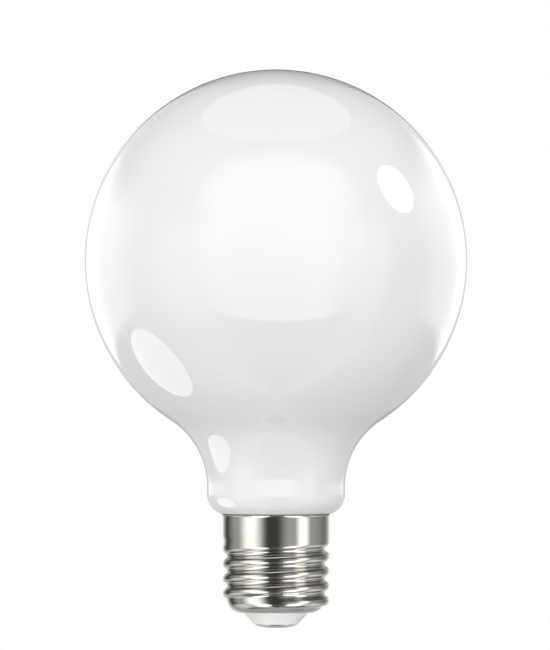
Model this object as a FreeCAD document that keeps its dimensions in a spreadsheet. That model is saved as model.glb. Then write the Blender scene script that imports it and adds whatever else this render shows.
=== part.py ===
# Globe bulb: an opal glass ball on a screw cap, with the driver that feeds it inside the cap.
# Millimetres. The axis is Z with the ball up, and the flat of the centre contact is at z = 0.
import FreeCAD
import Part

import os
import re
from math import atan2, cos, degrees, pi, radians, sin, sqrt

import Sketcher
from FreeCAD import Vector

# Driving dimensions: name, value and what it is. Heights are above the flat of the centre contact.
SIZES = [
    ("globe_radius", 47.5, "radius of the glass ball"),
    ("globe_top", 138.7, "height of the top of the ball"),
    ("neck_radius", 17.1, "outer radius of the glass neck"),
    ("neck_fillet", 19.5, "radius of the hollow curve between ball and neck"),
    ("shoulder_round", 5.1, "radius of the curve that takes the neck in to the cap"),
    ("shoulder_gap", 0.05, "gap between the cap's rim and the glass ledge over it"),
    ("spigot_radius", 11.8, "radius of the glass that stands in the cap"),
    ("spigot_end", 22.0, "height of the sealed end of the glass"),
    ("seal_round", 1.2, "rounding of the sealed end"),
    ("flare_mouth", 8.0, "radius of the glass flare's mouth"),
    ("flare_throat", 3.4, "radius of the flare at its top"),
    ("flare_top", 33.0, "height of the top of the flare"),
    ("exhaust_radius", 1.9, "radius of the exhaust tube's stub"),
    ("exhaust_end", 20.8, "height of the exhaust tube's sealed tip"),
    ("collar_radius", 13.2, "outer radius of the cap's collar and of the thread's crests"),
    ("shell_wall", 0.3, "thickness of the cap's sheet metal"),
    ("rim_height", 28.0, "height of the cap's rim"),
    ("rim_flare", 0.2, "how far the rim opens out"),
    ("flare_height", 0.8, "height over which the rim opens out"),
    ("thread_pitch", 3.629, "pitch of the screw thread"),
    ("thread_depth", 1.05, "depth of the screw thread"),
    ("crest_round", 0.93, "radius of the thread's crests"),
    ("crest_height", 17.8, "height of the highest full crest, on the +X side"),
    ("thread_turns", 3, "turns from the lowest crest on the +X side to the highest"),
    ("groove_fade_start", 60, "angle past +X where the last groove starts to fade"),
    ("groove_fade_end", 240, "angle past +X where the last groove has faded"),
    ("ridge_rise_start", -190, "angle from +X where the first ridge starts to rise"),
    ("ridge_rise_end", 10, "angle from +X where the first ridge is full"),
    ("dish_round", 3.6, "radius of the curve that turns the wall in to the cap's end"),
    ("dish_height", 7.6, "height where the wall starts to turn in"),
    ("dish_sweep", 65, "part of that curve, in degrees, that the thread may reach"),
    ("toe_fade", 0.5, "length over which a ridge sinks into the foot of that part"),
    ("dish_hole", 8.3, "radius of the hole in the cap's end"),
    ("fit", 0.05, "clearance of a piece that is pressed or set into another"),
    ("play", 0.1, "clearance of a piece that is slipped into another"),
    ("tip_height", 0.87, "height of the insulator's lower edge"),
    ("tip_radius", 5.5, "radius of the insulator's lower edge"),
    ("tip_round", 0.2, "rounding of the insulator's lower edge"),
    ("insulator_top", 7.0, "height of the insulator's upper face"),
    ("seat_width", 0.25, "width of the insulator's flat seat on the cap's end"),
    ("flange_sweep", 60, "how far, in degrees, the insulator's flange follows the dish"),
    ("contact_radius", 5.1, "radius of the contact's disc"),
    ("contact_flat", 1.6, "radius of the flat in the middle of the contact"),
    ("contact_dish", 0.72, "how far the contact's disc is domed"),
    ("contact_edge", 0.33, "thickness of the contact's edge"),
    ("rivet_radius", 1.5, "radius of the contact's rivet"),
    ("rivet_proud", 0.6, "how far the rivet stands out of the insulator"),
    ("rivet_bore", 0.55, "radius of the bore for the contact's wire"),
    ("rivet_bore_depth", 3.0, "depth of that bore"),
    ("cement_gap", 0.15, "height of the cement's lower edge above the thread"),
    ("board_height", 9.2, "height of the board's lower face"),
    ("board_thickness", 1.0, "thickness of the board"),
    ("can_radius", 4.0, "radius of the capacitor's can"),
    ("can_height", 10.4, "height of the capacitor's can"),
    ("can_round", 0.5, "rounding of the can's upper edge"),
    ("can_bead", 0.3, "depth of the bead rolled into the can"),
    ("bead_fullness", 1.02, "radius of the bead's curve over its depth"),
    ("can_bead_height", 1.6, "height of that bead above the board"),
    ("can_place", 6.3, "distance of the can from the axis"),
    ("choke_radius", 3.4, "radius of the choke's drum core"),
    ("choke_waist", 1.5, "radius of the core's waist"),
    ("choke_height", 6.0, "height of the choke"),
    ("choke_flange", 1.0, "thickness of the core's flanges"),
    ("winding_radius", 3.1, "outer radius of the choke's winding"),
    ("choke_place", 6.6, "distance of the choke from the axis"),
    ("fuse_radius", 1.2, "radius of the fuse resistor"),
    ("fuse_height", 5.0, "height of the fuse resistor"),
    ("fuse_round", 0.4, "rounding of the resistor's upper end"),
    ("fuse_place", 8.2, "distance of the fuse resistor from the axis"),
    ("chip_length", 4.9, "length of the driver chip"),
    ("chip_width", 3.9, "width of the driver chip"),
    ("chip_height", 1.5, "height of the driver chip"),
    ("rectifier_length", 4.7, "length of the bridge rectifier"),
    ("rectifier_width", 3.8, "width of the bridge rectifier"),
    ("rectifier_height", 1.6, "height of the bridge rectifier"),
    ("package_chamfer", 0.3, "chamfer of both packages"),
    ("package_place", 5.6, "distance of both packages from the axis"),
    ("wire_radius", 0.3, "radius of the wires"),
    ("wire_tail", 0.5, "how far a wire stands out under the board"),
    ("lead_place", 2.6, "distance of the stem's wires from the axis"),
    ("shell_wire_place", 8.6, "distance of the shell's wire from the axis at the board"),
    ("wire_bend", 1.5, "radius of the bend in the shell's wire"),
]
RING_POINTS = 48  # points round each ring of the thread
RINGS_PER_PITCH = 7  # rings along each pitch of the thread

doc = FreeCAD.newDocument("globe_bulb")
sheet = doc.addObject("Spreadsheet::Sheet", "Sizes")
for row, (alias, value, meaning) in enumerate(SIZES, start=1):
    sheet.set(f"A{row}", meaning)
    sheet.set(f"B{row}", str(value))
    sheet.setAlias(f"B{row}", alias)
doc.recompute()
ALIASES = {alias for alias, value, meaning in SIZES}

# Places that several pieces share, as expressions in the sheet's names
ROOT = "(collar_radius - thread_depth)"
DISH_CENTRE = f"({ROOT} - dish_round)"
DISH_FLOOR = "(dish_height - dish_round)"
GLOBE_CENTRE = "(globe_top - globe_radius)"
NECK_DROP = "sqrt((globe_radius + neck_fillet) ^ 2 - (neck_radius + neck_fillet) ^ 2)"
NECK_SHARE = "globe_radius / (globe_radius + neck_fillet)"
LEDGE = "(rim_height + shoulder_gap)"
THREAD_FOOT = "(dish_height - dish_round * dish_sweep * pi / 180)"
THREAD_TOP = "(crest_height + thread_pitch * (1 + groove_fade_end / 360))"
CONTACT_TOP = "(contact_dish + contact_edge)"
RIVET_TOP = "(insulator_top + rivet_proud)"
BOARD_TOP = "(board_height + board_thickness)"
WIRE_FOOT = "(board_height - wire_tail)"


def bound(expression):
    """The expression with each of the sheet's names written as FreeCAD reads it."""
    return re.sub(r"[a-z_]+", lambda m: f"Sizes.{m[0]}" if m[0] in ALIASES else m[0], expression)


def size(expression):
    """The value of an expression in the sheet's names."""
    return float(sheet.evalExpression(bound(expression)))


def new_body(label):
    body = doc.addObject("PartDesign::Body", label)
    body.Label = label
    return body


def new_sketch(body, role, name):
    """A sketch on one of the body's own origin planes."""
    plane = next(f for f in body.Origin.OriginFeatures if f.Role == role)
    sketch = body.newObject("Sketcher::SketchObject", name)
    sketch.AttachmentSupport = [(plane, "")]
    sketch.MapMode = "FlatFace"
    return sketch


def dimension(sketch, kind, *where):
    """A dimension of the sketch, bound to the expression that comes last."""
    *points, expression = where
    index = sketch.addConstraint(Sketcher.Constraint(kind, *points, size(expression)))
    sketch.setExpression(f"Constraints[{index}]", bound(expression))


def pin(sketch, curve, point, across, up):
    """Holds a point of a curve at two expressions. Zero puts it on the sketch's axis."""
    if across == "0":
        sketch.addConstraint(Sketcher.Constraint("PointOnObject", curve, point, -2))
    else:
        dimension(sketch, "DistanceX", -1, 1, curve, point, across)
    if up == "0":
        sketch.addConstraint(Sketcher.Constraint("PointOnObject", curve, point, -1))
    else:
        dimension(sketch, "DistanceY", -1, 1, curve, point, up)


def arc_centre(start, end, radius, side):
    """The centre of the arc from start to end that bends to the left (side 1) or right (side -1)."""
    chord = end - start
    reach = sqrt(radius**2 - (chord.Length / 2) ** 2)
    across = Vector(-chord.y, chord.x, 0).normalize()
    return start + chord * 0.5 + across * reach * side


def draw_outline(sketch, corners):
    """A closed outline through corners (across, up), each an expression.

    A third item is the radius of the arc that leads to the corner, and a fourth is 1 if that arc
    turns left and -1 if it turns right.
    """
    spots = [Vector(size(corner[0]), size(corner[1]), 0) for corner in corners]
    ends = []  # for each curve: the numbers of its first and last point
    for number, corner in enumerate(corners):
        start, end = spots[number - 1], spots[number]
        if len(corner) == 2:
            sketch.addGeometry(Part.LineSegment(start, end))
            ends.append((1, 2))
            continue
        radius, side = corner[2:]
        centre = arc_centre(start, end, size(radius), side)
        first, last = (start, end) if side > 0 else (end, start)
        angles = [atan2(p.y - centre.y, p.x - centre.x) for p in (first, last)]
        if angles[1] < angles[0]:
            angles[1] += 2 * pi
        circle = Part.Circle(centre, Vector(0, 0, 1), size(radius))
        sketch.addGeometry(Part.ArcOfCircle(circle, *angles))
        ends.append((1, 2) if side > 0 else (2, 1))
    for number, corner in enumerate(corners):
        following = (number + 1) % len(corners)
        here, there = ends[number][1], ends[following][0]
        sketch.addConstraint(Sketcher.Constraint("Coincident", number, here, following, there))
        pin(sketch, number, here, corner[0], corner[1])
        if len(corner) > 2:
            dimension(sketch, "Radius", number, corner[2])


def turned(label, corners):
    """A body turned about Z from its outline of (radius, height) corners."""
    body = new_body(label)
    sketch = new_sketch(body, "XZ_Plane", label + "_outline")
    draw_outline(sketch, corners)
    turn = body.newObject("PartDesign::Revolution", label + "_turn")
    turn.Profile = sketch
    turn.ReferenceAxis = (sketch, ["V_Axis"])
    turn.Angle = 360
    return body


def place(piece, **where):
    """Binds the piece's place along x, y or z to expressions."""
    for axis, expression in where.items():
        piece.setExpression(f"Placement.Base.{axis}", bound(expression))


def cylinder(label, radius, height, **where):
    piece = doc.addObject("Part::Cylinder", label)
    piece.Label = label
    piece.setExpression("Radius", bound(radius))
    piece.setExpression("Height", bound(height))
    place(piece, **where)
    return piece


# Opal glass: ball, hollow curve, neck, shoulder and the spigot that stands in the cap. Its sealed end
# opens into the flare, where the exhaust tube's stub hangs.
def glass_globe():
    fillet_x = f"(neck_radius + neck_fillet) * {NECK_SHARE}"
    fillet_z = f"{GLOBE_CENTRE} - {NECK_DROP} * {NECK_SHARE}"
    turned(
        "glass_globe",
        [
            ("0", "flare_top"),
            ("0", "globe_top"),
            (fillet_x, fillet_z, "globe_radius", -1),
            ("neck_radius", f"{GLOBE_CENTRE} - {NECK_DROP}", "neck_fillet", 1),
            ("neck_radius", f"{LEDGE} + shoulder_round"),
            ("neck_radius - shoulder_round", LEDGE, "shoulder_round", -1),
            ("spigot_radius", LEDGE),
            ("spigot_radius", "spigot_end + seal_round"),
            ("spigot_radius - seal_round", "spigot_end", "seal_round", -1),
            ("flare_mouth", "spigot_end"),
            ("flare_throat", "flare_top"),
            ("exhaust_radius", "flare_top"),
            ("exhaust_radius", "exhaust_end + exhaust_radius"),
            ("0", "exhaust_end", "exhaust_radius", -1),
        ],
    )


def smooth(share):
    """An even rise from 0 to 1 that starts and ends level."""
    share = min(max(share, 0), 1)
    return share * share * (3 - 2 * share)


class Thread:
    """The rolled thread: how far the sheet stands out from the thread's root, at any place.

    Round crests and round roots meet at a tangent. The sheet's inner face keeps their centres, so
    the wall is as thick on the flanks as elsewhere. A groove is pressed into the collar, and its
    last half turn fades out. The first ridge rises out of the dish.
    """

    def __init__(self):
        self.pitch = size("thread_pitch")
        self.depth = size("thread_depth")
        self.crest_height = size("crest_height")
        self.crest = size("crest_round")
        rounds = ((self.pitch / 2) ** 2 + self.depth**2) / (2 * self.depth)
        self.root = rounds - self.crest
        self.groove_fade = size("groove_fade_start"), size("groove_fade_end")
        self.ridge_rise = size("ridge_rise_start"), size("ridge_rise_end")
        self.first_turn = size("thread_turns")
        self.foot, self.toe_fade = size(THREAD_FOOT), size("toe_fade")

    def section(self, from_crest, inset):
        """Height above the root, at a distance along the axis from the crest's middle."""
        crest, root = self.crest - inset, self.root + inset
        if from_crest <= self.pitch / 2 * crest / (crest + root):
            return self.depth - self.crest + inset + sqrt(crest**2 - from_crest**2)
        from_root = self.pitch / 2 - from_crest
        return self.root + inset - sqrt(root**2 - from_root**2)

    def height(self, angle, up, inset):
        """Height above the root at an angle in degrees from +X and a height on the unrolled wall."""
        turns = (up - self.crest_height) / self.pitch - angle / 360
        share = self.section(abs(turns - round(turns)) * self.pitch, inset) / self.depth
        groove_angle = 360 * (turns // 1) + angle
        ridge_angle = 360 * (round(turns) + self.first_turn) + angle
        fade, full = self.groove_fade
        cut = 1 - smooth((groove_angle - fade) / (full - fade))
        start, end = self.ridge_rise
        rise = smooth((ridge_angle - start) / (end - start))
        toe = smooth((up - self.foot) / self.toe_fade)
        return self.depth * toe * rise * (1 - cut * (1 - share))


def line_edge(x1, z1, x2, z2):
    """A line in the XZ plane."""
    return Part.LineSegment(Vector(x1, 0, z1), Vector(x2, 0, z2)).toShape()


def arc_edge(centre_x, centre_z, radius, start, end):
    """An arc in the XZ plane between two angles in degrees from +X towards +Z."""
    angles = [radians(a) for a in (start, (start + end) / 2, end)]
    spots = [Vector(centre_x + radius * cos(a), 0, centre_z + radius * sin(a)) for a in angles]
    return Part.Arc(*spots).toShape()


def turn_wire(edges):
    """The skin made by turning an open chain of edges about Z."""
    return Part.Wire(edges).revolve(Vector(0, 0, 0), Vector(0, 0, 1), 360)


# Screw cap shell: one sheet with its rolled thread inside and out, the flared rim and the dished end.
def screw_shell():
    thread = Thread()
    wall = size("shell_wall")
    root, collar = size(ROOT), size("collar_radius")
    dish_round, dish_height = size("dish_round"), size("dish_height")
    dish_centre, dish_floor = size(DISH_CENTRE), size(DISH_FLOOR)
    dish_sweep, dish_hole = size("dish_sweep"), size("dish_hole")
    thread_top, rim = size(THREAD_TOP), size("rim_height")
    flare, flare_height = size("rim_flare"), size("flare_height")

    def spot(angle, along, inset):
        """A point of the threaded wall. Along is measured up the root's line from the dish."""
        out = thread.height(angle, dish_height + along, inset) - inset
        radius, up = root + out, dish_height + along
        if along < 0:
            turn = -along / dish_round
            radius = dish_centre + (dish_round + out) * cos(turn)
            up = dish_height - (dish_round + out) * sin(turn)
        return Vector(radius * cos(radians(angle)), radius * sin(radians(angle)), up)

    def threaded_skin(inset):
        low = thread.foot - dish_height
        length = thread_top - thread.foot
        count = round(length / thread.pitch * RINGS_PER_PITCH)
        rings = []
        for number in range(count + 1):
            along = low + length * number / count
            if number in (0, count):
                start = spot(0, along, inset)
                ring = Part.Circle(Vector(0, 0, start.z), Vector(0, 0, 1), start.x)
            else:
                angles = [360 * n / RING_POINTS for n in range(RING_POINTS)]
                ring = Part.BSplineCurve()
                ring.interpolate(Points=[spot(a, along, inset) for a in angles], PeriodicFlag=True)
            rings.append(Part.Wire(ring.toShape()))
        return Part.makeLoft(rings, False, True).Faces

    flare_round = (flare**2 + flare_height**2) / (2 * flare)
    flare_centre, flare_foot = collar + flare_round, rim - flare_height
    outer_turn = degrees(atan2(flare_height, flare_round - flare))
    inner_reach = sqrt((flare_round + wall) ** 2 - flare_height**2)
    inner_turn = degrees(atan2(flare_height, inner_reach))
    rim_skin = turn_wire(
        [
            line_edge(collar, thread_top, collar, flare_foot),
            arc_edge(flare_centre, flare_foot, flare_round, 180, 180 - outer_turn),
            line_edge(collar + flare, rim, flare_centre - inner_reach, rim),
            arc_edge(flare_centre, flare_foot, flare_round + wall, 180 - inner_turn, 180),
            line_edge(collar - wall, flare_foot, collar - wall, thread_top),
        ]
    )
    dish_skin = turn_wire(
        [
            arc_edge(dish_centre, dish_height, dish_round, -dish_sweep, -90),
            line_edge(dish_centre, dish_floor, dish_hole, dish_floor),
            line_edge(dish_hole, dish_floor, dish_hole, dish_floor + wall),
            line_edge(dish_hole, dish_floor + wall, dish_centre, dish_floor + wall),
            arc_edge(dish_centre, dish_height, dish_round - wall, -90, -dish_sweep),
        ]
    )
    faces = rim_skin.Faces + dish_skin.Faces + threaded_skin(0) + threaded_skin(wall)
    skin = Part.Shell(faces)
    skin.sewShape()
    shell = Part.Solid(skin)
    if shell.Volume < 0:
        shell.reverse()
    piece = doc.addObject("Part::Feature", "screw_shell")
    piece.Label = "screw_shell"
    piece.Shape = shell
    piece.Placement = FreeCAD.Placement()


# Moulded insulator: the cone under the cap, its neck through the hole and the flange inside the dish
def insulator():
    neck = "(dish_hole - fit)"
    seat = f"({DISH_FLOOR} + shell_wall)"
    flange_round = "(dish_round - shell_wall - play)"
    flange_reach = f"{DISH_CENTRE} + {flange_round} * sin(flange_sweep)"
    turned(
        "insulator",
        [
            ("rivet_radius + fit", CONTACT_TOP),
            ("contact_radius + fit", CONTACT_TOP),
            ("contact_radius + fit", "tip_height"),
            ("tip_radius - tip_round", "tip_height"),
            ("tip_radius", "tip_height + tip_round", "tip_round", 1),
            (neck, f"{DISH_FLOOR} - fit"),
            (neck, seat),
            (f"{neck} + seat_width", seat),
            (DISH_CENTRE, f"dish_height - {flange_round}"),
            (flange_reach, f"dish_height - {flange_round} * cos(flange_sweep)", flange_round, 1),
            (flange_reach, "insulator_top"),
            ("rivet_radius + fit", "insulator_top"),
        ],
    )


# Centre contact: a domed disc under the insulator and the bored rivet that holds it
def centre_contact():
    run = "(contact_radius - contact_flat)"
    turned(
        "centre_contact",
        [
            ("0", "0"),
            ("contact_flat", "0"),
            ("contact_radius", "contact_dish", f"({run} ^ 2 + contact_dish ^ 2) / (2 * contact_dish)", 1),
            ("contact_radius", CONTACT_TOP),
            ("rivet_radius", CONTACT_TOP),
            ("rivet_radius", RIVET_TOP),
            ("rivet_bore", RIVET_TOP),
            ("rivet_bore", f"{RIVET_TOP} - rivet_bore_depth"),
            ("0", f"{RIVET_TOP} - rivet_bore_depth"),
        ],
    )


# Cement between the glass spigot and the collar
def cap_cement():
    foot, top = f"{THREAD_TOP} + cement_gap", "rim_height - flare_height"
    inner, outer = "spigot_radius", "collar_radius - shell_wall"
    turned("cap_cement", [(inner, foot), (outer, foot), (outer, top), (inner, top)])


# Round board that rests on the inside of the thread's roots, with holes for the four wires
def driver_board():
    body = new_body("driver_board")
    disc = new_sketch(body, "XY_Plane", "board_disc")
    disc.addGeometry(Part.Circle(Vector(0, 0, 0), Vector(0, 0, 1), size(ROOT)))
    disc.addConstraint(Sketcher.Constraint("Coincident", 0, 3, -1, 1))
    dimension(disc, "Radius", 0, f"{ROOT} - shell_wall - play")
    pad = body.newObject("PartDesign::Pad", "board_pad")
    pad.Profile = disc
    pad.setExpression("Length", bound("board_thickness"))
    doc.recompute()
    plain = body.Shape.Volume
    holes = new_sketch(body, "XY_Plane", "wire_holes")
    for number, across in enumerate(("0", "lead_place", "-lead_place", "shell_wire_place")):
        middle = Vector(size(across), 0, 0)
        holes.addGeometry(Part.Circle(middle, Vector(0, 0, 1), size("wire_radius + fit")))
        dimension(holes, "Radius", number, "wire_radius + fit")
        pin(holes, number, 3, across, "0")
    cut = body.newObject("PartDesign::Pocket", "board_holes")
    cut.Profile = holes
    cut.Type = "ThroughAll"
    cut.Reversed = True
    doc.recompute()
    if not body.Shape.Volume < plain:
        raise RuntimeError("the board's holes cut nothing")
    place(body, z="board_height")


# Smoothing capacitor: an aluminium can, upright on the board, with a bead rolled in near its foot
def smoothing_capacitor():
    bead_low, bead_high = "can_bead_height - can_bead", "can_bead_height + can_bead"
    body = turned(
        "smoothing_capacitor",
        [
            ("0", "0"),
            ("can_radius", "0"),
            ("can_radius", bead_low),
            ("can_radius", bead_high, "can_bead * bead_fullness", -1),
            ("can_radius", "can_height - can_round"),
            ("can_radius - can_round", "can_height", "can_round", 1),
            ("0", "can_height"),
        ],
    )
    place(body, y="can_place", z=BOARD_TOP)


# Choke: a drum core on the board with its winding round the waist
def choke():
    core = turned(
        "choke_core",
        [
            ("0", "0"),
            ("choke_radius", "0"),
            ("choke_radius", "choke_flange"),
            ("choke_waist", "choke_flange"),
            ("choke_waist", "choke_height - choke_flange"),
            ("choke_radius", "choke_height - choke_flange"),
            ("choke_radius", "choke_height"),
            ("0", "choke_height"),
        ],
    )
    low, high = "choke_flange", "choke_height - choke_flange"
    winding = turned(
        "choke_winding",
        [
            ("choke_waist", low),
            ("winding_radius", low),
            ("winding_radius", high),
            ("choke_waist", high),
        ],
    )
    for piece in (core, winding):
        place(piece, y="-choke_place", z=BOARD_TOP)


# Fuse resistor, upright on the board
def fuse_resistor():
    body = turned(
        "fuse_resistor",
        [
            ("0", "0"),
            ("fuse_radius", "0"),
            ("fuse_radius", "fuse_height - fuse_round"),
            ("fuse_radius - fuse_round", "fuse_height", "fuse_round", 1),
            ("0", "fuse_height"),
        ],
    )
    place(body, x="-fuse_place", z=BOARD_TOP)


# Two moulded packages under the board: the driver chip and the bridge rectifier
def package(name, side):
    box = doc.addObject("Part::Box", name + "_block")
    box.setExpression("Length", bound(f"{name}_length"))
    box.setExpression("Width", bound(f"{name}_width"))
    box.setExpression("Height", bound(f"{name}_height"))
    away = "package_place" if side > 0 else "-package_place"
    place(
        box,
        x=f"{away} - {name}_length / 2",
        y=f"-{name}_width / 2",
        z=f"board_height - {name}_height",
    )
    doc.recompute()
    chamfer = doc.addObject("Part::Chamfer", name)
    chamfer.Label = {"chip": "driver_chip", "rectifier": "bridge_rectifier"}[name]
    chamfer.Base = box
    foot = size(f"board_height - {name}_height")
    width = size("package_chamfer")
    chamfer.Edges = [
        (number, width, width)
        for number, edge in enumerate(box.Shape.Edges, start=1)
        if abs(edge.CenterOfMass.z - foot) < width / 2
    ]


# Straight wires: two from the top of the glass flare through the board, and one down into the rivet
def straight_wires():
    for label, x in (("stem_lead_left", "-lead_place"), ("stem_lead_right", "lead_place")):
        cylinder(label, "wire_radius", f"flare_top - {WIRE_FOOT}", x=x, z=WIRE_FOOT)
    end = f"{RIVET_TOP} - rivet_bore_depth"
    top = f"{BOARD_TOP} + wire_tail"
    cylinder("contact_wire", "wire_radius", f"{top} - ({end})", z=end)


# Wire from the board to the inside of the shell, which it meets in the hollow of a crest
def shell_wire():
    out, foot, bend = size("shell_wire_place"), size(WIRE_FOOT), size("wire_bend")
    level = size("crest_height - thread_pitch")
    reach = size("collar_radius - shell_wall - play")
    path = [
        line_edge(out, foot, out, level - bend),
        arc_edge(out + bend, level - bend, bend, 180, 90),
        line_edge(out + bend, level, reach, level),
    ]
    round_section = Part.Circle(Vector(out, 0, foot), Vector(0, 0, 1), size("wire_radius"))
    section = Part.Wire(round_section.toShape())
    piece = doc.addObject("Part::Feature", "shell_wire")
    piece.Label = "shell_wire"
    piece.Shape = Part.Wire(path).makePipeShell([section], True, True)
    piece.Placement = FreeCAD.Placement()


NODES = [
    "glass_globe",
    "screw_shell",
    "insulator",
    "centre_contact",
    "cap_cement",
    "driver_board",
    "smoothing_capacitor",
    "choke_core",
    "choke_winding",
    "fuse_resistor",
    "driver_chip",
    "bridge_rectifier",
    "stem_lead_left",
    "stem_lead_right",
    "contact_wire",
    "shell_wire",
]

glass_globe()
screw_shell()
insulator()
centre_contact()
cap_cement()
driver_board()
smoothing_capacitor()
choke()
fuse_resistor()
package("chip", 1)
package("rectifier", -1)
straight_wires()
shell_wire()
doc.recompute()

for thing in doc.Objects:
    if "Invalid" in thing.State or "Error" in thing.State:
        raise RuntimeError(f"{thing.Label} failed: {thing.State}")
pieces = {label: doc.getObjectsByLabel(label)[0].Shape for label in NODES}
for label, shape in pieces.items():
    if shape.isNull() or not shape.isValid() or len(shape.Solids) != 1:
        raise RuntimeError(f"{label} isn't one valid solid")
os.makedirs("parts", exist_ok=True)
for label, shape in pieces.items():
    shape.exportStep(f"parts/{label}.step")
    print(f"{label}: {shape.Volume / 1000:.3f} cm3")
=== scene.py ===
import bpy
from math import atan2, cos, degrees, hypot, pi, radians, sin, sqrt
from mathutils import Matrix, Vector


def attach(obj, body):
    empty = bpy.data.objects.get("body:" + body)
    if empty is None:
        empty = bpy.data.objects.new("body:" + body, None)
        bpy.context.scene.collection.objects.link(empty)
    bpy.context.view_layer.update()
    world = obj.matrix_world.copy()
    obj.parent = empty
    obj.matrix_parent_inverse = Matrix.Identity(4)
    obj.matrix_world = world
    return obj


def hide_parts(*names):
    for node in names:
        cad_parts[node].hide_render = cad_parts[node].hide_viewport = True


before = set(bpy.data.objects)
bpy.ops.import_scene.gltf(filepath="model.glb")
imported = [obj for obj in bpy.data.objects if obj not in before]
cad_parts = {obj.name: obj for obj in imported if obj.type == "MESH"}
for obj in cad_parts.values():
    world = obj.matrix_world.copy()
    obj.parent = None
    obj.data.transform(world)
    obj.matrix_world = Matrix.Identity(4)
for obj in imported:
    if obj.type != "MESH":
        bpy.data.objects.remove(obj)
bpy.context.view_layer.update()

MM = 0.001


# Opal glass globe. A ball blown from soda glass and dipped white, drawn in to a neck and a rounded
# shoulder. Its spigot stands in the screw cap, set in cement, and its end is fused shut.
def pick_nothing():
    """Leaves object mode with nothing selected, so that an operator works on the new piece only."""
    if bpy.context.mode != "OBJECT":
        bpy.ops.object.mode_set(mode="OBJECT")
    bpy.ops.object.select_all(action="DESELECT")


def arc(centre, radius, start, end, steps):
    """Points (radius, height) along an arc, by angles in degrees from outwards towards up."""
    turns = [radians(start + (end - start) * n / steps) for n in range(steps + 1)]
    return [(centre[0] + radius * cos(t), centre[1] + radius * sin(t)) for t in turns]


def turn_on_lathe(name, outline, steps):
    """A piece spun about Z from its outline of (radius, height) points in millimetres."""
    pick_nothing()
    across, up = outline[0]
    bpy.ops.mesh.primitive_plane_add(size=MM, location=(0, 0, 0))
    piece = bpy.context.object
    piece.name = piece.data.name = name
    bpy.ops.object.mode_set(mode="EDIT")
    bpy.ops.mesh.merge(type="CENTER")
    bpy.ops.transform.translate(value=(across * MM, 0, up * MM))
    for next_across, next_up in outline[1:]:
        step = ((next_across - across) * MM, 0, (next_up - up) * MM)
        bpy.ops.mesh.extrude_vertices_move(TRANSFORM_OT_translate={"value": step})
        across, up = next_across, next_up
    bpy.ops.mesh.select_all(action="SELECT")
    bpy.ops.mesh.spin(steps=steps, angle=2 * pi, center=(0, 0, 0), axis=(0, 0, 1))
    bpy.ops.mesh.select_all(action="SELECT")
    bpy.ops.mesh.remove_doubles(threshold=0.002 * MM)
    bpy.ops.mesh.normals_make_consistent(inside=False)
    bpy.ops.object.mode_set(mode="OBJECT")
    return piece


def smooth_faces(piece, sharp_over):
    """Shades a piece smooth, but keeps an edge sharp where its faces turn by more than this."""
    pick_nothing()
    piece.select_set(True)
    bpy.context.view_layer.objects.active = piece
    bpy.ops.object.shade_smooth_by_angle(angle=radians(sharp_over))


GLOBE_RADIUS, GLOBE_CENTRE = 47.5, 91.2
NECK_RADIUS, NECK_FILLET, SHOULDER_ROUND = 17.1, 19.5, 5.1
LEDGE_HEIGHT, SPIGOT_RADIUS, SPIGOT_END, SEAL_ROUND = 28.05, 11.8, 22.0, 1.2
STEM_FOOT, STEM_RADIUS, STEM_HEIGHT = 8.0, 3.4, 33.0
TUBE_RADIUS, TUBE_END = 1.9, 22.7

fillet_across = NECK_RADIUS + NECK_FILLET
fillet_height = GLOBE_CENTRE - sqrt((GLOBE_RADIUS + NECK_FILLET) ** 2 - fillet_across**2)
fillet_turn = degrees(atan2(GLOBE_CENTRE - fillet_height, fillet_across))
outline = arc((0, GLOBE_CENTRE), GLOBE_RADIUS, 90, -fillet_turn, 110)
outline[0] = (0, GLOBE_CENTRE + GLOBE_RADIUS)
outline += arc((fillet_across, fillet_height), NECK_FILLET, 180 - fillet_turn, 180, 24)[1:]
shoulder = (NECK_RADIUS - SHOULDER_ROUND, LEDGE_HEIGHT + SHOULDER_ROUND)
outline += arc(shoulder, SHOULDER_ROUND, 0, -90, 20)
outline += [(SPIGOT_RADIUS, LEDGE_HEIGHT), (SPIGOT_RADIUS, SPIGOT_END + SEAL_ROUND)]
outline += arc((SPIGOT_RADIUS - SEAL_ROUND, SPIGOT_END + SEAL_ROUND), SEAL_ROUND, 0, -90, 8)[1:]
outline += [(STEM_FOOT, SPIGOT_END), (STEM_RADIUS, STEM_HEIGHT)]
outline += [(TUBE_RADIUS, STEM_HEIGHT), (TUBE_RADIUS, TUBE_END)]
outline += arc((0, TUBE_END), TUBE_RADIUS, 0, -90, 8)[1:-1] + [(0, TUBE_END - TUBE_RADIUS)]
globe = turn_on_lathe("opal_globe", outline, 256)
smooth_faces(globe, 40)


def new_group(name, inputs, outputs):
    """A shader node group with its named sockets. Returns the group, its inputs and its outputs."""
    group = bpy.data.node_groups.new(name, "ShaderNodeTree")
    for socket, kind, value in inputs:
        kind = "NodeSocket" + kind
        made = group.interface.new_socket(name=socket, in_out="INPUT", socket_type=kind)
        made.default_value = value
    for socket, kind in outputs:
        kind = "NodeSocket" + kind
        group.interface.new_socket(name=socket, in_out="OUTPUT", socket_type=kind)
    return group, group.nodes.new("NodeGroupInput"), group.nodes.new("NodeGroupOutput")


def node(tree, kind, **settings):
    """A node with its settings, and its inputs by socket name in a dictionary called values."""
    made = tree.nodes.new("ShaderNode" + kind)
    for socket, value in settings.pop("values", {}).items():
        made.inputs[socket].default_value = value
    for setting, value in settings.items():
        setattr(made, setting, value)
    return made


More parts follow.
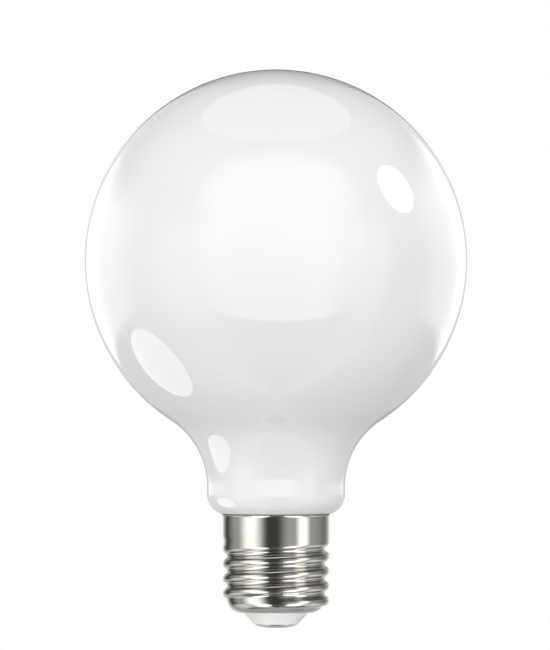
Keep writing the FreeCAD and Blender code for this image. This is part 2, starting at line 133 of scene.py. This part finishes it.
def mottle_group():
    """Cloudy change of tone: a soft large cloud and a finer one over it."""
    group, given, out = new_group(
        "Mottle",
        [
            ("Light", "Color", (1, 1, 1, 1)),
            ("Dark", "Color", (0, 0, 0, 1)),
            ("Size", "Float", 5.0),
            ("Fine Share", "Float", 0.3),
        ],
        [("Color", "Color"), ("Mask", "Float")],
    )
    link = group.links.new
    place = node(group, "TexCoord")
    per_size = node(group, "Math", operation="DIVIDE", values={0: 1000.0})
    link(given.outputs["Size"], per_size.inputs[1])
    cloud = node(group, "TexNoise", values={"Detail": 3.0, "Roughness": 0.5})
    link(place.outputs["Object"], cloud.inputs["Vector"])
    link(per_size.outputs[0], cloud.inputs["Scale"])
    finer = node(group, "Math", operation="MULTIPLY", values={1: 9.0})
    link(per_size.outputs[0], finer.inputs[0])
    grain = node(group, "TexNoise", values={"Detail": 2.0, "Roughness": 0.6})
    link(place.outputs["Object"], grain.inputs["Vector"])
    link(finer.outputs[0], grain.inputs["Scale"])
    both = node(group, "Mix", data_type="FLOAT")
    link(given.outputs["Fine Share"], both.inputs["Factor"])
    link(cloud.outputs["Fac"], both.inputs["A"])
    link(grain.outputs["Fac"], both.inputs["B"])
    mask = node(group, "MapRange", interpolation_type="SMOOTHSTEP", values={1: 0.3, 2: 0.7})
    link(both.outputs["Result"], mask.inputs["Value"])
    tone = node(group, "Mix", data_type="RGBA")
    link(mask.outputs[0], tone.inputs["Factor"])
    link(given.outputs["Light"], tone.inputs[6])
    link(given.outputs["Dark"], tone.inputs[7])
    link(tone.outputs[2], out.inputs["Color"])
    link(mask.outputs[0], out.inputs["Mask"])
    return group


MOTTLE = mottle_group()


def finish(name, light, dark, size, fine, roughness, **sockets):
    """A Principled material whose colour and roughness change over the surface by the mottle.

    The roughness is a pair, for the light and the dark places. Returns the material, its shader
    and its mottle.
    """
    material = bpy.data.materials.new(name)
    material.use_nodes = True
    tree = material.node_tree
    shader = tree.nodes["Principled BSDF"]
    mottle = node(tree, "Group", node_tree=MOTTLE)
    mottle.inputs["Light"].default_value = (*light, 1)
    mottle.inputs["Dark"].default_value = (*dark, 1)
    mottle.inputs["Size"].default_value = size
    mottle.inputs["Fine Share"].default_value = fine
    tree.links.new(mottle.outputs["Color"], shader.inputs["Base Color"])
    gloss = node(tree, "MapRange", values={3: roughness[0], 4: roughness[1]})
    tree.links.new(mottle.outputs["Mask"], gloss.inputs["Value"])
    tree.links.new(gloss.outputs[0], shader.inputs["Roughness"])
    for socket, value in sockets.items():
        shader.inputs[socket.replace("_", " ")].default_value = value
    return material, shader, mottle


def bump(material, shader, height, distance, strength=1.0):
    """Raises the surface by a height output, with its full depth in millimetres."""
    tree = material.node_tree
    relief = node(tree, "Bump", values={"Strength": strength, "Distance": distance * MM})
    tree.links.new(height, relief.inputs["Height"])
    tree.links.new(relief.outputs["Normal"], shader.inputs["Normal"])


def dress(piece, material):
    """Gives a piece its one material."""
    piece.data.materials.clear()
    piece.data.materials.append(material)


opal, opal_shader, opal_mottle = finish(
    "opal_glass", (0.86, 0.86, 0.865), (0.83, 0.83, 0.84), 40, 0.1, (0.03, 0.05),
    Specular_IOR_Level=0.5,
)
bump(opal, opal_shader, opal_mottle.outputs["Mask"], 0.004, 0.3)
dress(globe, opal)
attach(globe, "root")
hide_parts("glass_globe")


# Screw cap shell. One cup drawn from nickel-plated brass sheet: the rolled thread shows inside and
# out, the last groove runs out in the collar, and the rim opens a little under the glass.
COLLAR_RADIUS, SHELL_WALL, RIM_HEIGHT = 13.2, 0.3, 28.1
RIM_FLARE, FLARE_HEIGHT = 0.2, 0.8
PITCH, DEPTH, CREST_ROUND, CREST_HEIGHT, THREAD_TURNS = 3.629, 1.05, 0.93, 17.8, 3
GROOVE_FADE, RIDGE_RISE, RINGS_PER_TURN = (60, 240), (-190, 10), 22
DISH_ROUND, DISH_HEIGHT, DISH_SWEEP, DISH_HOLE = 3.6, 7.6, 65, 8.3
COLLAR_MIDDLE = 25.5
ROOT_RADIUS = COLLAR_RADIUS - DEPTH
ROOT_ROUND = ((PITCH / 2) ** 2 + DEPTH**2) / (2 * DEPTH) - CREST_ROUND
THREAD_TOP = CREST_HEIGHT + PITCH * (1 + GROOVE_FADE[1] / 360)


def ease(share):
    """A share between 0 and 1 that leaves 0 and reaches 1 gently."""
    share = min(max(share, 0), 1)
    return share * share * (3 - 2 * share)


def thread_height(angle, up):
    """How far the sheet stands out from the thread's root, at an angle from +X and a height."""
    turns = (up - CREST_HEIGHT) / PITCH - angle / 360
    from_crest = abs(turns - round(turns)) * PITCH
    if from_crest <= PITCH / 2 * CREST_ROUND / (CREST_ROUND + ROOT_ROUND):
        out = DEPTH - CREST_ROUND + sqrt(CREST_ROUND**2 - from_crest**2)
    else:
        out = ROOT_ROUND - sqrt(ROOT_ROUND**2 - (PITCH / 2 - from_crest) ** 2)
    groove_angle = 360 * (turns // 1) + angle
    ridge_angle = 360 * (round(turns) + THREAD_TURNS) + angle
    cut = 1 - ease((groove_angle - GROOVE_FADE[0]) / (GROOVE_FADE[1] - GROOVE_FADE[0]))
    rise = ease((ridge_angle - RIDGE_RISE[0]) / (RIDGE_RISE[1] - RIDGE_RISE[0]))
    return DEPTH * rise * (1 - cut * (1 - out / DEPTH))


dish = (ROOT_RADIUS - DISH_ROUND, DISH_HEIGHT)
flare_round = (RIM_FLARE**2 + FLARE_HEIGHT**2) / (2 * RIM_FLARE)
flare_turn = degrees(atan2(FLARE_HEIGHT, flare_round - RIM_FLARE))
outline = [(DISH_HOLE, DISH_HEIGHT - DISH_ROUND)] + arc(dish, DISH_ROUND, -90, 0, 28)
rings = round((THREAD_TOP - DISH_HEIGHT) / PITCH * RINGS_PER_TURN)
rise = (THREAD_TOP - DISH_HEIGHT) / rings
outline += [(ROOT_RADIUS, DISH_HEIGHT + rise * n) for n in range(1, rings)]
flare = (COLLAR_RADIUS + flare_round, RIM_HEIGHT - FLARE_HEIGHT)
outline += [(COLLAR_RADIUS, up) for up in (THREAD_TOP, COLLAR_MIDDLE, flare[1])]
outline += arc(flare, flare_round, 180, 180 - flare_turn, 6)[1:]
shell = turn_on_lathe("cap_shell", outline, 224)
for vertex in shell.data.vertices:
    x, y, z = vertex.co / MM
    angle, across = degrees(atan2(y, x)), hypot(x, y)
    turned_in = atan2(DISH_HEIGHT - z, across - dish[0]) if z < DISH_HEIGHT else 0
    if z > THREAD_TOP - rise / 2 or degrees(turned_in) > DISH_SWEEP:
        continue
    out = thread_height(angle, DISH_HEIGHT - DISH_ROUND * turned_in if turned_in else z)
    across = dish[0] + (DISH_ROUND + out) * cos(turned_in)
    height = DISH_HEIGHT - (DISH_ROUND + out) * sin(turned_in) if turned_in else z
    vertex.co = (across * cos(radians(angle)) * MM, across * sin(radians(angle)) * MM, height * MM)
pick_nothing()
shell.select_set(True)
bpy.context.view_layer.objects.active = shell
bpy.ops.object.mode_set(mode="EDIT")
bpy.ops.mesh.select_all(action="SELECT")
bpy.ops.mesh.normals_make_consistent(inside=False)
bpy.ops.object.mode_set(mode="OBJECT")
sheet = shell.modifiers.new("sheet", "SOLIDIFY")
sheet.thickness, sheet.offset, sheet.use_even_offset = SHELL_WALL * MM, -1, True
bpy.ops.object.modifier_apply(modifier="sheet")
smooth_faces(shell, 50)

nickel, nickel_shader, nickel_mottle = finish(
    "nickel_plate", (0.80, 0.785, 0.745), (0.75, 0.73, 0.685), 6, 0.4, (0.07, 0.11), Metallic=1.0,
)
bump(nickel, nickel_shader, nickel_mottle.outputs["Mask"], 0.003, 0.4)
dress(shell, nickel)
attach(shell, "root")
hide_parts("screw_shell")


# Insulator. A white moulded cone under the cap, with a neck through the cap's hole and a flange
# clipped over its edge inside. The centre contact is riveted through it.
RIVET_HOLE, DISC_SEAT, NEST_RADIUS = 1.55, 1.05, 5.15
TIP_RADIUS, TIP_HEIGHT, TIP_ROUND = 5.3, 0.87, 0.2
CONE_RADIUS, CONE_HEIGHT, FLANGE_FOOT = 8.25, 3.95, (8.5, 4.3)
FLANGE_GAP, FLANGE_TURN, FLANGE_TOP = 0.1, 30, 7.0
flange_round = DISH_ROUND - SHELL_WALL - FLANGE_GAP
flange_radius = dish[0] + flange_round * cos(radians(FLANGE_TURN))
outline = [(RIVET_HOLE, DISC_SEAT), (NEST_RADIUS, DISC_SEAT)]
outline += [(NEST_RADIUS, TIP_HEIGHT), (TIP_RADIUS, TIP_HEIGHT)]
outline += arc((TIP_RADIUS, TIP_HEIGHT + TIP_ROUND), TIP_ROUND, -90, -20, 4)[1:]
outline += [(CONE_RADIUS, CONE_HEIGHT), (CONE_RADIUS, FLANGE_FOOT[1]), FLANGE_FOOT]
outline += arc(dish, flange_round, -90, -FLANGE_TURN, 10)
outline += [(flange_radius, FLANGE_TOP), (RIVET_HOLE, FLANGE_TOP), (RIVET_HOLE, DISC_SEAT)]
insulator = turn_on_lathe("insulator_cone", outline, 128)
smooth_faces(insulator, 30)
plastic, plastic_shader, plastic_mottle = finish(
    "white_plastic", (0.80, 0.80, 0.81), (0.76, 0.76, 0.775), 3, 0.5, (0.35, 0.45),
)
bump(plastic, plastic_shader, plastic_mottle.outputs["Mask"], 0.01, 0.3)
dress(insulator, plastic)
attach(insulator, "root")
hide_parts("insulator")


# Centre contact. A shallow domed disc pressed from nickel-plated brass, with a hollow rivet that
# holds it in the insulator and takes the driver's wire.
DISC_FLAT, DISC_RADIUS, DISC_RISE, DISC_CURVE, DISC_STEPS = 1.6, 5.1, 0.72, 1.7, 12
DISC_EDGE, DISC_CHAMFER, RIVET_CHAMFER = 1.0, 0.1, 0.1
RIVET_RADIUS, RIVET_TOP, BORE_RADIUS, BORE_FOOT = 1.5, 7.6, 0.55, 4.6
outline = [(0, 0.0), (DISC_FLAT, 0.0)]
for n in range(1, DISC_STEPS + 1):
    share = n / DISC_STEPS
    across = DISC_FLAT + (DISC_RADIUS - DISC_FLAT) * share
    outline.append((across, DISC_RISE * share**DISC_CURVE))
outline += [(DISC_RADIUS, DISC_EDGE), (DISC_RADIUS - DISC_CHAMFER, DISC_SEAT)]
outline += [(RIVET_RADIUS, DISC_SEAT), (RIVET_RADIUS, RIVET_TOP - RIVET_CHAMFER)]
outline += [(RIVET_RADIUS - RIVET_CHAMFER, RIVET_TOP), (BORE_RADIUS, RIVET_TOP)]
outline += [(BORE_RADIUS, BORE_FOOT), (0, BORE_FOOT)]
contact = turn_on_lathe("contact_disc", outline, 128)
smooth_faces(contact, 35)
bright, bright_shader, bright_mottle = finish(
    "contact_metal", (0.78, 0.77, 0.75), (0.70, 0.69, 0.66), 2, 0.5, (0.22, 0.32), Metallic=1.0,
)
bump(bright, bright_shader, bright_mottle.outputs["Mask"], 0.004, 0.4)
dress(contact, bright)
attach(contact, "root")
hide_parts("centre_contact")


# Driver inside the cap: the board with its capacitor, choke, fuse and packages, the wires, and
# the cement that holds the glass. The cap and the glass close round all of it.
INNER = {
    "cap_cement": "cement",
    "driver_board": "board_laminate",
    "smoothing_capacitor": "can_aluminium",
    "choke_core": "ferrite",
    "choke_winding": "copper_wire",
    "fuse_resistor": "resistor_coating",
    "driver_chip": "black_moulding",
}
# Each finish: its light and dark colour, size of the mottle, share of the fine one, roughness,
# depth of the relief in millimetres, and metallic
FINISHES = {
    "cement": ((0.62, 0.58, 0.50), (0.48, 0.44, 0.38), 1.5, 0.6, (0.8, 0.95), 0.05, 0.0),
    "board_laminate": ((0.10, 0.30, 0.14), (0.07, 0.22, 0.10), 2, 0.5, (0.35, 0.5), 0.02, 0.0),
    "can_aluminium": ((0.72, 0.72, 0.73), (0.60, 0.60, 0.61), 2, 0.5, (0.25, 0.4), 0.01, 1.0),
    "ferrite": ((0.07, 0.07, 0.075), (0.045, 0.045, 0.05), 0.8, 0.6, (0.55, 0.75), 0.02, 0.0),
    "copper_wire": ((0.62, 0.27, 0.12), (0.45, 0.17, 0.08), 0.7, 0.5, (0.25, 0.4), 0.05, 1.0),
    "resistor_coating": ((0.30, 0.45, 0.38), (0.22, 0.36, 0.30), 1, 0.5, (0.4, 0.6), 0.02, 0.0),
    "black_moulding": ((0.03, 0.03, 0.032), (0.018, 0.018, 0.02), 0.5, 0.6, (0.5, 0.7), 0.01, 0.0),
}
for name, title in INNER.items():
    light, dark, size, fine, roughness, depth, metallic = FINISHES[title]
    material, shader, mottle = finish(
        title, light, dark, size, fine, roughness, Metallic=metallic
    )
    bump(material, shader, mottle.outputs["Mask"], depth, 0.5)
    dress(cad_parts[name], material)
dress(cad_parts["bridge_rectifier"], bpy.data.materials["black_moulding"])
tinned = finish(
    "tinned_wire", (0.75, 0.75, 0.76), (0.62, 0.62, 0.63), 0.8, 0.5, (0.2, 0.35), Metallic=1.0
)[0]
for name in ("stem_lead_left", "stem_lead_right", "contact_wire", "shell_wire"):
    dress(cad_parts[name], tinned)


# Studio. A pale floor far under the bulb, flags behind it, a white surround with the cards that the
# metal mirrors, and softboxes. Those for the glass and for the metal light only their own pieces.
FLOOR_SIZE, FLOOR_HEIGHT = 0.6, -0.6
pick_nothing()
bpy.ops.mesh.primitive_plane_add(size=FLOOR_SIZE, location=(0, 0, FLOOR_HEIGHT))
floor = bpy.context.object
floor.name = floor.data.name = "studio_floor"
paper = finish("studio_paper", (0.47, 0.47, 0.47), (0.45, 0.45, 0.45), 200, 0.3, (0.8, 0.9))[0]
dress(floor, paper)
floor.visible_glossy = False

# Two flags behind the bulb draw its thin edge: a black one far behind over the top of the ball, and
# a grey one close behind down the sides of the neck
velvet = finish("black_velvet", (0.02, 0.02, 0.02), (0.015, 0.015, 0.015), 20, 0.3, (0.9, 1.0))[0]
for name, cloth, behind, middle, width, height in (
    ("far_flag", velvet, 0.35, 0.315, 0.16, 0.33),
    ("near_flag", paper, 0.06, 0.046, 0.088, 0.032),
):
    pick_nothing()
    bpy.ops.mesh.primitive_plane_add(
        size=1, location=(0, behind, middle), rotation=(radians(90), 0, 0)
    )
    flag = bpy.context.object
    flag.name = flag.data.name = name
    flag.scale = (width, height, 1)
    dress(flag, cloth)
    flag.visible_camera = flag.visible_diffuse = flag.visible_shadow = False

# A black flag over the ball keeps the light from above off its crown
pick_nothing()
bpy.ops.mesh.primitive_plane_add(size=1, location=(0, 0.055, 0.2))
shade = bpy.context.object
shade.name = shade.data.name = "crown_flag"
shade.scale = (0.07, 0.1, 1)
dress(shade, velvet)
shade.visible_camera = shade.visible_glossy = shade.visible_shadow = False

# Cards that metal and glass mirror: the bearings, in degrees from the camera towards +X, where each
# one fades in, is full, stays full until and has faded out, and its tone
CARDS = {
    "left diffuser": (-90, -60, -50, -18, 1.0),
    "left wall": (-130, -95, -60, -10, 0.32),
    "right wall": (0, 30, 60, 170, 0.36),
    "right strip": (40, 55, 65, 80, 0.95),
    "back wall, right": (120, 160, 190, 200, 0.6),
    "back wall, left": (-200, -190, -160, -125, 0.6),
}
DARK_ROOM = 0.05
world = bpy.data.worlds.new("studio")
bpy.context.scene.world = world
world.use_nodes = True
world.cycles.sampling_method = "NONE"
tree = world.node_tree
link = tree.links.new
direction = node(tree, "TexCoord")
parts = node(tree, "SeparateXYZ")
link(direction.outputs["Generated"], parts.inputs[0])
towards_camera = node(tree, "Math", operation="MULTIPLY", values={1: -1.0})
link(parts.outputs["Y"], towards_camera.inputs[0])
bearing = node(tree, "Math", operation="ARCTAN2")
link(parts.outputs["X"], bearing.inputs[0])
link(towards_camera.outputs[0], bearing.inputs[1])
tone_round = None
for start, full, full_until, end, tone in CARDS.values():
    rising = node(tree, "MapRange", interpolation_type="SMOOTHSTEP")
    falling = node(tree, "MapRange", interpolation_type="SMOOTHSTEP")
    for number, value in enumerate((radians(start), radians(full), 0, tone), start=1):
        rising.inputs[number].default_value = value
    for number, value in enumerate((radians(full_until), radians(end), 1, 0), start=1):
        falling.inputs[number].default_value = value
    seen_card = node(tree, "Math", operation="MULTIPLY")
    for socket, side in enumerate((rising, falling)):
        link(bearing.outputs[0], side.inputs["Value"])
        link(side.outputs[0], seen_card.inputs[socket])
    total = node(tree, "Math", operation="ADD", values={1: DARK_ROOM})
    link(seen_card.outputs[0], total.inputs[0])
    if tone_round is not None:
        link(tone_round, total.inputs[1])
    tone_round = total.outputs[0]


def by_height(levels, values):
    """A value that follows the height of a direction: below, level, above."""
    low, middle, high = values
    lower = node(tree, "MapRange", interpolation_type="SMOOTHSTEP")
    for number, value in enumerate((levels[0], levels[1], low, middle), start=1):
        lower.inputs[number].default_value = value
    upper = node(tree, "MapRange", interpolation_type="SMOOTHSTEP")
    for number, value in enumerate((levels[2], levels[3], 0, high - middle), start=1):
        upper.inputs[number].default_value = value
    total = node(tree, "Math", operation="ADD")
    for socket, part in enumerate((lower, upper)):
        link(parts.outputs["Z"], part.inputs["Value"])
        link(part.outputs[0], total.inputs[socket])
    return total.outputs[0]


# Below, level with and above the cards: how much of them is left, and what is added to them
CARD_LEVELS = (-0.7, -0.2, 0.2, 0.5)
CARD_SHARE, CARD_GLOW = (0.5, 1.0, 0.22), (0.07, 0.0, 0.04)
scaled = node(tree, "Math", operation="MULTIPLY")
link(tone_round, scaled.inputs[0])
link(by_height(CARD_LEVELS, CARD_SHARE), scaled.inputs[1])
mirrored = node(tree, "Math", operation="ADD")
link(scaled.outputs[0], mirrored.inputs[0])
link(by_height(CARD_LEVELS, CARD_GLOW), mirrored.inputs[1])

# Soft fill for matt surfaces, full where a direction leans this way and dim on the far side
FILL_LEAN, FILL_FROM, FILL_UNTIL = (-0.22, -0.65, 1.0), (-0.9, 0.22), (-0.28, 1.08)
fill = node(
    tree,
    "MapRange",
    interpolation_type="SMOOTHSTEP",
    values={1: FILL_FROM[0], 2: FILL_UNTIL[0], 3: FILL_FROM[1], 4: FILL_UNTIL[1]},
)
leaning = node(tree, "VectorMath", operation="DOT_PRODUCT", values={1: FILL_LEAN})
link(direction.outputs["Generated"], leaning.inputs[0])
link(leaning.outputs["Value"], fill.inputs["Value"])
path = node(tree, "LightPath")
seen = node(tree, "Mix", data_type="RGBA")
link(path.outputs["Is Glossy Ray"], seen.inputs["Factor"])
link(fill.outputs[0], seen.inputs[6])
link(mirrored.outputs[0], seen.inputs[7])
shown = node(tree, "Mix", data_type="RGBA")
shown.inputs[7].default_value = (1, 1, 1, 1)
link(path.outputs["Is Camera Ray"], shown.inputs["Factor"])
link(seen.outputs[2], shown.inputs[6])
link(shown.outputs[2], tree.nodes["Background"].inputs["Color"])


def only_for(name, pieces):
    """A collection that names the pieces a lamp lights."""
    lit = bpy.data.collections.new(name)
    for piece in pieces:
        lit.objects.link(piece)
    return lit


def feather(data, edges):
    """Fades a lamp's face from its middle to its edges: left, right, below and above, as shares."""
    data.use_nodes = True
    nodes = data.node_tree
    emission = nodes.nodes["Emission"]
    face = node(nodes, "NewGeometry")
    across = node(nodes, "SeparateXYZ")
    nodes.links.new(face.outputs["Parametric"], across.inputs[0])
    product = None
    for number, edge in enumerate(edges):
        axis, far = divmod(number, 2)
        fade = node(nodes, "MapRange", interpolation_type="SMOOTHSTEP")
        fade.inputs[1].default_value = 1.0 if far else 0.0
        fade.inputs[2].default_value = 1.0 - edge if far else edge
        nodes.links.new(across.outputs[axis], fade.inputs["Value"])
        if product is None:
            product = fade.outputs[0]
            continue
        times = node(nodes, "Math", operation="MULTIPLY")
        nodes.links.new(product, times.inputs[0])
        nodes.links.new(fade.outputs[0], times.inputs[1])
        product = times.outputs[0]
    nodes.links.new(product, emission.inputs["Strength"])


def softbox(
    name, bearing, rise, distance, width, height, radiance, lit,
    aim=GLOBE_CENTRE, shape="RECTANGLE", soft=None, fills=False,
):
    """An area light turned to a height on the axis, set by the radiance of its face."""
    bearing, rise = radians(bearing), radians(rise)
    towards = Vector((sin(bearing) * cos(rise), -cos(bearing) * cos(rise), sin(rise)))
    data = bpy.data.lights.new(name, "AREA")
    data.shape, data.size, data.size_y = shape, width, height
    data.energy = radiance * pi * width * height * (pi / 4 if shape == "ELLIPSE" else 1)
    lamp = bpy.data.objects.new(name, data)
    bpy.context.scene.collection.objects.link(lamp)
    lamp.location = Vector((0, 0, aim * MM)) + towards * distance
    lamp.rotation_euler = towards.to_track_quat("Z", "Y").to_euler()
    lamp.visible_camera = False
    lamp.visible_diffuse = fills
    lamp.light_linking.receiver_collection = lit
    if soft:
        feather(data, soft)
    return lamp


glass_only = only_for("lit_glass", [globe])
metal_only = only_for("lit_metal", [shell, contact])
plastic_only = only_for("lit_plastic", [insulator])

# Each lamp: bearing, rise and distance, width and height, radiance, what it lights and the height
# that it aims at
softbox("front_box", 2, 15, 0.103, 0.25, 0.24, 2.1, glass_only, 99, soft=(0.35, 0.35, 0.02, 0.3))
softbox("top_box", 180, 77, 0.9, 0.95, 0.95, 0.75, glass_only, shape="ELLIPSE")
softbox("right_box", 91, 31, 0.7, 0.29, 0.27, 4.0, glass_only, shape="ELLIPSE")
softbox("left_box", -103, -41, 0.22, 0.128, 0.122, 2.4, glass_only, shape="ELLIPSE")
softbox("rim_left", -116, 0, 0.155, 0.222, 0.156, 1.5, glass_only, 98, soft=(0.1, 0.4, 0.1, 0.3))
softbox("rim_right", 116, 0, 0.155, 0.222, 0.18, 1.5, glass_only, 111, soft=(0.4, 0.1, 0.1, 0.3))
softbox("cap_back", 180, 0, 0.6, 1.0, 0.4, 0.45, metal_only, 16, soft=(0.3, 0.3, 0.3, 0.3))
softbox("cap_side_left", -108, -38, 0.5, 0.6, 0.4, 0.5, metal_only, 12, soft=(0.3, 0.3, 0.3, 0.3))
softbox("cap_side_right", 108, -38, 0.5, 0.6, 0.4, 0.5, metal_only, 12, soft=(0.3, 0.3, 0.3, 0.3))
softbox("cap_low_left", -38, -38, 0.4, 0.25, 0.3, 1.2, metal_only, 8, shape="ELLIPSE")
softbox("cap_low_right", 43, -38, 0.4, 0.25, 0.3, 1.2, metal_only, 8, shape="ELLIPSE")
softbox("plastic_fill", 0, -35, 0.6, 0.5, 0.5, 1.2, plastic_only, 4, fills=True)

LENS, SENSOR_WIDTH, CAMERA_PLACE = 892.0, 36.0, (-0.000256, -4.0, 0.07523)
camera = bpy.data.objects.new("camera", bpy.data.cameras.new("camera"))
bpy.context.scene.collection.objects.link(camera)
camera.data.lens, camera.data.sensor_width = LENS, SENSOR_WIDTH
camera.data.clip_start, camera.data.clip_end = 0.1, 50
camera.location = CAMERA_PLACE
camera.rotation_euler = (radians(90), 0, 0)
bpy.context.scene.camera = camera
bpy.context.scene.view_settings.view_transform = "Standard"
